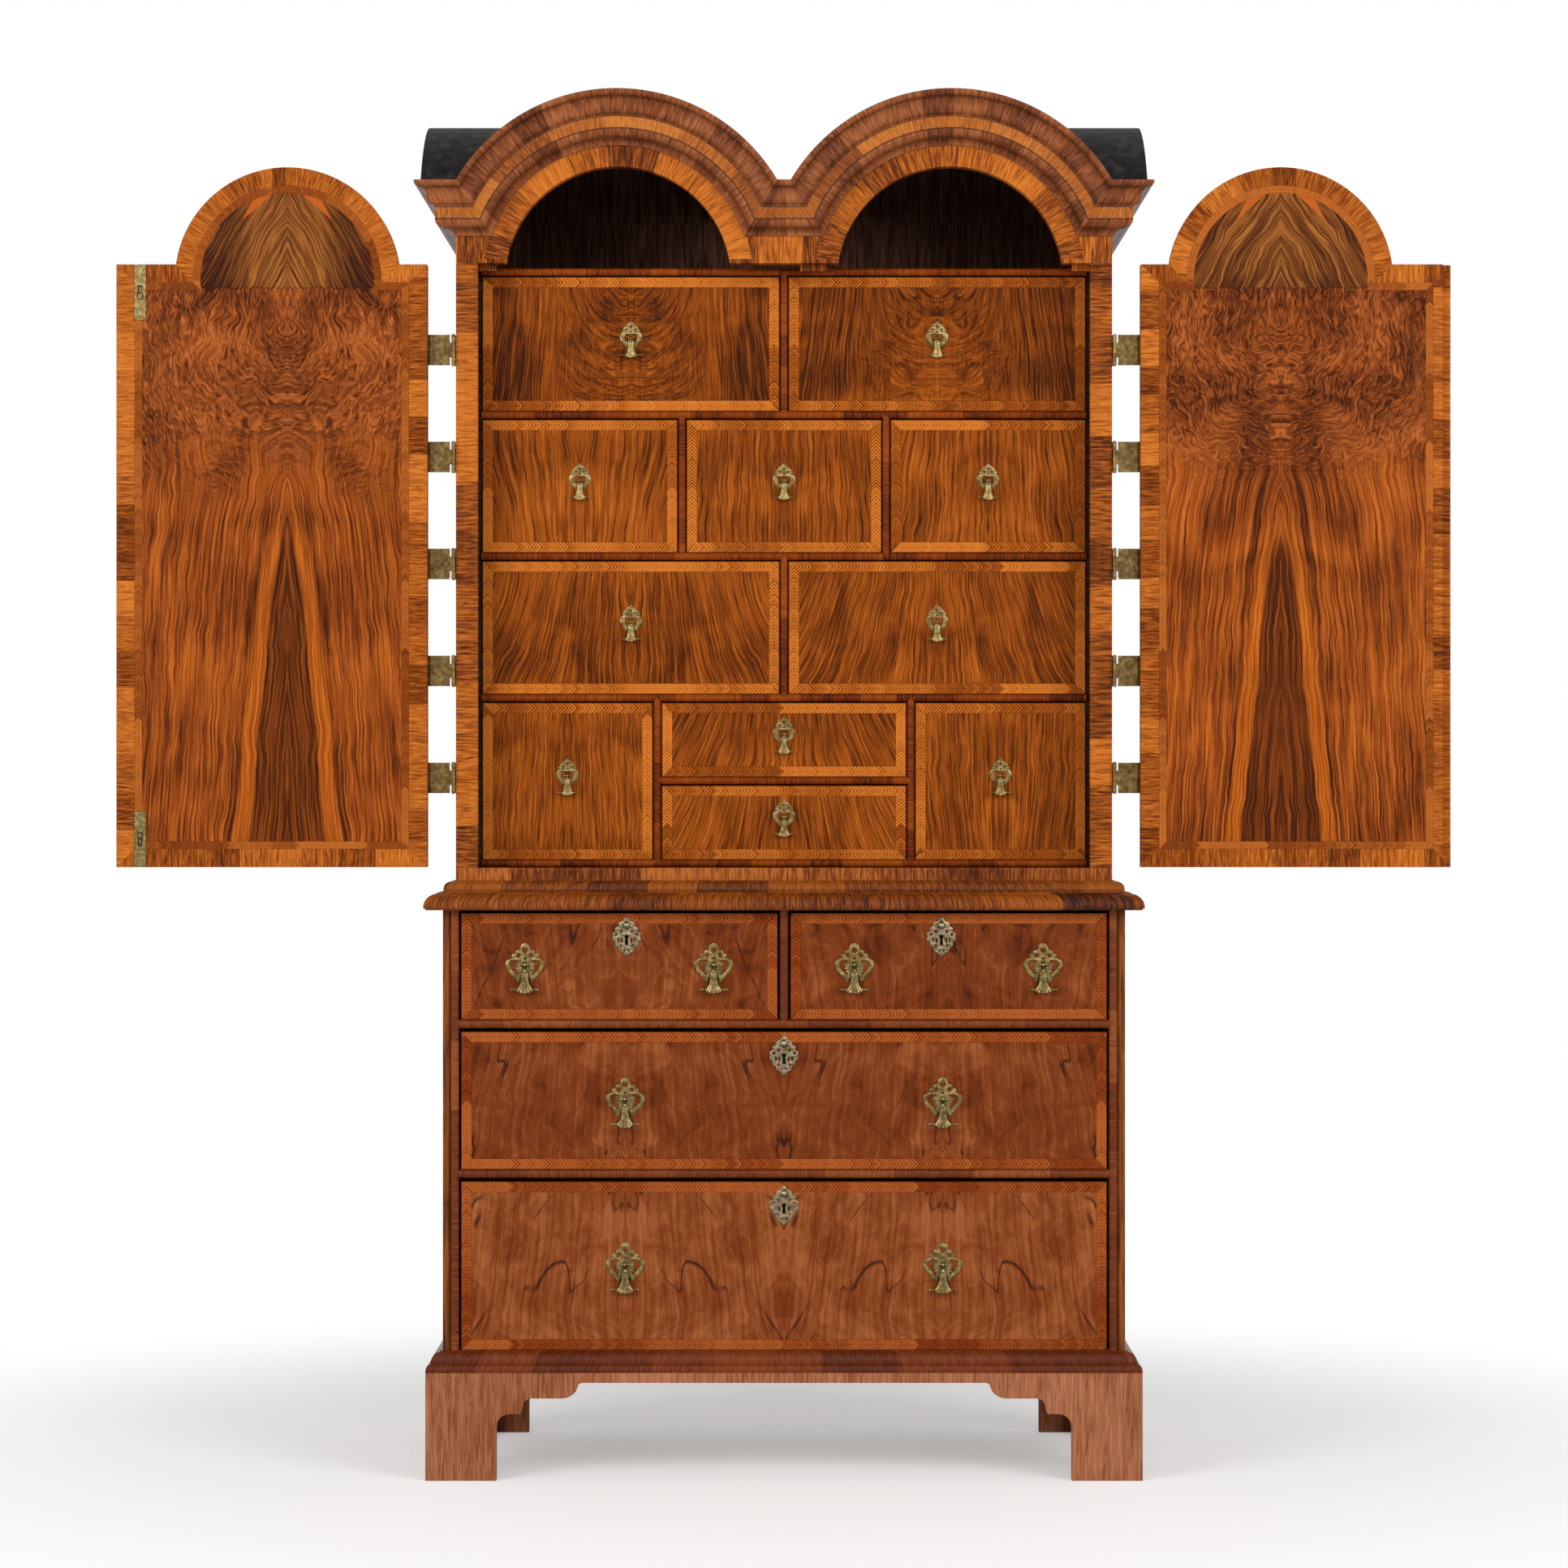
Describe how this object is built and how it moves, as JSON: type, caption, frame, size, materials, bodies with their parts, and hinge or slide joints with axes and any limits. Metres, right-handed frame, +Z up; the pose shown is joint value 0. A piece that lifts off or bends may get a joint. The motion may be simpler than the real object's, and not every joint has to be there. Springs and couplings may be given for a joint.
{
  "type": "cabinet on chest",
  "caption": "Walnut double-domed cabinet on chest with arched doors standing open on a nest of small drawers, over long and short drawers on bracket feet.",
  "frame": {"origin": "on the floor, under the middle of the piece's bounding box", "axes": "+X to the right as seen from the front, +Y to the back, +Z up; the drawer fronts face -Y"},
  "size_m": [1.9656, 0.522, 2.0439],
  "materials": {
    "red_walnut": "waxed",
    "golden_walnut": "waxed",
    "dark_walnut": "waxed",
    "door_walnut": "waxed",
    "drawer_walnut": "waxed",
    "chest_drawer_walnut": "waxed",
    "oak": "dry",
    "black_paint": "matte black paint",
    "brass": "aged satin"
  },
  "bodies": {
    "case": {"front_feet": "red_walnut", "rear_feet": "red_walnut", "base_moulding": "red_walnut", "chest_floor": "oak", "chest_sides": "red_walnut", "chest_rails": "red_walnut", "chest_divider": "red_walnut", "chest_back": "oak", "chest_top": "red_walnut", "waist_moulding": "golden_walnut", "cabinet_floor": "red_walnut", "cabinet_sides": "red_walnut", "cabinet_back": "oak", "face_stiles": "golden_walnut", "arch_board": "golden_walnut", "cornice": "golden_walnut", "cornice_returns": "golden_walnut", "dome_roof": "black_paint", "nest_shelves": "dark_walnut", "nest_uprights": "dark_walnut", "case_hinge_leaves": "brass", "hinge_pins": "brass"},
    "left_door": {"left_door": "door_walnut", "left_door_leaves": "brass", "bolt_plates": "brass"},
    "top_bolt": {"top_bolt": "brass"},
    "bottom_bolt": {"bottom_bolt": "brass"},
    "right_door": {"right_door": "door_walnut", "right_door_leaves": "brass", "door_lock": "brass"},
    "drawer_row1_left": {"drawer_row1_left": "drawer_walnut"},
    "drawer_row1_right": {"drawer_row1_right": "drawer_walnut"},
    "drawer_row2_left": {"drawer_row2_left": "drawer_walnut"},
    "drawer_row2_middle": {"drawer_row2_middle": "drawer_walnut"},
    "drawer_row2_right": {"drawer_row2_right": "drawer_walnut"},
    "drawer_row3_left": {"drawer_row3_left": "drawer_walnut"},
    "drawer_row3_right": {"drawer_row3_right": "drawer_walnut"},
    "drawer_row4_left": {"drawer_row4_left": "drawer_walnut"},
    "drawer_row4_upper": {"drawer_row4_upper": "drawer_walnut"},
    "drawer_row4_lower": {"drawer_row4_lower": "drawer_walnut"},
    "drawer_row4_right": {"drawer_row4_right": "drawer_walnut"},
    "drop_row1_left": {"drop_row1_left": "brass"},
    "drop_row1_right": {"drop_row1_right": "brass"},
    "drop_row2_left": {"drop_row2_left": "brass"},
    "drop_row2_middle": {"drop_row2_middle": "brass"},
    "drop_row2_right": {"drop_row2_right": "brass"},
    "drop_row3_left": {"drop_row3_left": "brass"},
    "drop_row3_right": {"drop_row3_right": "brass"},
    "drop_row4_left": {"drop_row4_left": "brass"},
    "drop_row4_upper": {"drop_row4_upper": "brass"},
    "drop_row4_lower": {"drop_row4_lower": "brass"},
    "drop_row4_right": {"drop_row4_right": "brass"},
    "chest_drawer_top_left": {"chest_drawer_top_left": "chest_drawer_walnut"},
    "chest_drawer_top_right": {"chest_drawer_top_right": "chest_drawer_walnut"},
    "chest_drawer_middle": {"chest_drawer_middle": "chest_drawer_walnut"},
    "chest_drawer_bottom": {"chest_drawer_bottom": "chest_drawer_walnut"},
    "drops_top_left": {"drops_top_left": "brass"},
    "drops_top_right": {"drops_top_right": "brass"},
    "drops_middle": {"drops_middle": "brass"},
    "drops_bottom": {"drops_bottom": "brass"}
  },
  "joints": [
    {"name": "left_door_hinge", "type": "hinge", "parent": "case", "child": "left_door", "pos_m": [-0.4884, -0.2062, 1], "axis": [0, 0, -1], "range_deg": [-180, 60]},
    {"name": "right_door_hinge", "type": "hinge", "parent": "case", "child": "right_door", "pos_m": [0.4884, -0.2062, 1], "axis": [0, 0, 1], "range_deg": [-180, 60]},
    {"name": "top_bolt_slide", "type": "slide", "parent": "left_door", "child": "top_bolt", "axis": [0, 0, 1], "range_m": [0, 0.012]},
    {"name": "bottom_bolt_slide", "type": "slide", "parent": "left_door", "child": "bottom_bolt", "axis": [0, 0, -1], "range_m": [0, 0.012]},
    {"name": "drawer_row1_left_slide", "type": "slide", "parent": "case", "child": "drawer_row1_left", "axis": [0, -1, 0], "range_m": [0, 0.25]},
    {"name": "drawer_row1_right_slide", "type": "slide", "parent": "case", "child": "drawer_row1_right", "axis": [0, -1, 0], "range_m": [0, 0.25]},
    {"name": "drawer_row2_left_slide", "type": "slide", "parent": "case", "child": "drawer_row2_left", "axis": [0, -1, 0], "range_m": [0, 0.25]},
    {"name": "drawer_row2_middle_slide", "type": "slide", "parent": "case", "child": "drawer_row2_middle", "axis": [0, -1, 0], "range_m": [0, 0.25]},
    {"name": "drawer_row2_right_slide", "type": "slide", "parent": "case", "child": "drawer_row2_right", "axis": [0, -1, 0], "range_m": [0, 0.25]},
    {"name": "drawer_row3_left_slide", "type": "slide", "parent": "case", "child": "drawer_row3_left", "axis": [0, -1, 0], "range_m": [0, 0.25]},
    {"name": "drawer_row3_right_slide", "type": "slide", "parent": "case", "child": "drawer_row3_right", "axis": [0, -1, 0], "range_m": [0, 0.25]},
    {"name": "drawer_row4_left_slide", "type": "slide", "parent": "case", "child": "drawer_row4_left", "axis": [0, -1, 0], "range_m": [0, 0.25]},
    {"name": "drawer_row4_upper_slide", "type": "slide", "parent": "case", "child": "drawer_row4_upper", "axis": [0, -1, 0], "range_m": [0, 0.25]},
    {"name": "drawer_row4_lower_slide", "type": "slide", "parent": "case", "child": "drawer_row4_lower", "axis": [0, -1, 0], "range_m": [0, 0.25]},
    {"name": "drawer_row4_right_slide", "type": "slide", "parent": "case", "child": "drawer_row4_right", "axis": [0, -1, 0], "range_m": [0, 0.25]},
    {"name": "drop_row1_left_swing", "type": "hinge", "parent": "drawer_row1_left", "child": "drop_row1_left", "pos_m": [-0.22825, -0.1535, 1.688], "axis": [-1, 0, 0], "range_deg": [0, 100]},
    {"name": "drop_row1_right_swing", "type": "hinge", "parent": "drawer_row1_right", "child": "drop_row1_right", "pos_m": [0.22825, -0.1535, 1.688], "axis": [-1, 0, 0], "range_deg": [0, 100]},
    {"name": "drop_row2_left_swing", "type": "hinge", "parent": "drawer_row2_left", "child": "drop_row2_left", "pos_m": [-0.30433, -0.1535, 1.476], "axis": [-1, 0, 0], "range_deg": [0, 100]},
    {"name": "drop_row2_middle_swing", "type": "hinge", "parent": "drawer_row2_middle", "child": "drop_row2_middle", "pos_m": [0, -0.1535, 1.476], "axis": [-1, 0, 0], "range_deg": [0, 100]},
    {"name": "drop_row2_right_swing", "type": "hinge", "parent": "drawer_row2_right", "child": "drop_row2_right", "pos_m": [0.30433, -0.1535, 1.476], "axis": [-1, 0, 0], "range_deg": [0, 100]},
    {"name": "drop_row3_left_swing", "type": "hinge", "parent": "drawer_row3_left", "child": "drop_row3_left", "pos_m": [-0.22825, -0.1535, 1.265], "axis": [-1, 0, 0], "range_deg": [0, 100]},
    {"name": "drop_row3_right_swing", "type": "hinge", "parent": "drawer_row3_right", "child": "drop_row3_right", "pos_m": [0.22825, -0.1535, 1.265], "axis": [-1, 0, 0], "range_deg": [0, 100]},
    {"name": "drop_row4_left_swing", "type": "hinge", "parent": "drawer_row4_left", "child": "drop_row4_left", "pos_m": [-0.32275, -0.1535, 1.036], "axis": [-1, 0, 0], "range_deg": [0, 100]},
    {"name": "drop_row4_upper_swing", "type": "hinge", "parent": "drawer_row4_upper", "child": "drop_row4_upper", "pos_m": [0, -0.1535, 1.09775], "axis": [-1, 0, 0], "range_deg": [0, 100]},
    {"name": "drop_row4_lower_swing", "type": "hinge", "parent": "drawer_row4_lower", "child": "drop_row4_lower", "pos_m": [0, -0.1535, 0.97425], "axis": [-1, 0, 0], "range_deg": [0, 100]},
    {"name": "drop_row4_right_swing", "type": "hinge", "parent": "drawer_row4_right", "child": "drop_row4_right", "pos_m": [0.32275, -0.1535, 1.036], "axis": [-1, 0, 0], "range_deg": [0, 100]},
    {"name": "chest_drawer_top_left_slide", "type": "slide", "parent": "case", "child": "chest_drawer_top_left", "axis": [0, -1, 0], "range_m": [0, 0.33]},
    {"name": "chest_drawer_top_right_slide", "type": "slide", "parent": "case", "child": "chest_drawer_top_right", "axis": [0, -1, 0], "range_m": [0, 0.33]},
    {"name": "chest_drawer_middle_slide", "type": "slide", "parent": "case", "child": "chest_drawer_middle", "axis": [0, -1, 0], "range_m": [0, 0.33]},
    {"name": "chest_drawer_bottom_slide", "type": "slide", "parent": "case", "child": "chest_drawer_bottom", "axis": [0, -1, 0], "range_m": [0, 0.33]},
    {"name": "drops_top_left_swing", "type": "hinge", "parent": "chest_drawer_top_left", "child": "drops_top_left", "pos_m": [-0.24275, -0.23, 0.7575], "axis": [-1, 0, 0], "range_deg": [0, 100]},
    {"name": "drops_top_right_swing", "type": "hinge", "parent": "chest_drawer_top_right", "child": "drops_top_right", "pos_m": [0.24275, -0.23, 0.7575], "axis": [-1, 0, 0], "range_deg": [0, 100]},
    {"name": "drops_middle_swing", "type": "hinge", "parent": "chest_drawer_middle", "child": "drops_middle", "pos_m": [0, -0.23, 0.5595], "axis": [-1, 0, 0], "range_deg": [0, 100]},
    {"name": "drops_bottom_swing", "type": "hinge", "parent": "chest_drawer_bottom", "child": "drops_bottom", "pos_m": [0, -0.23, 0.31575], "axis": [-1, 0, 0], "range_deg": [0, 100]}
  ]
}
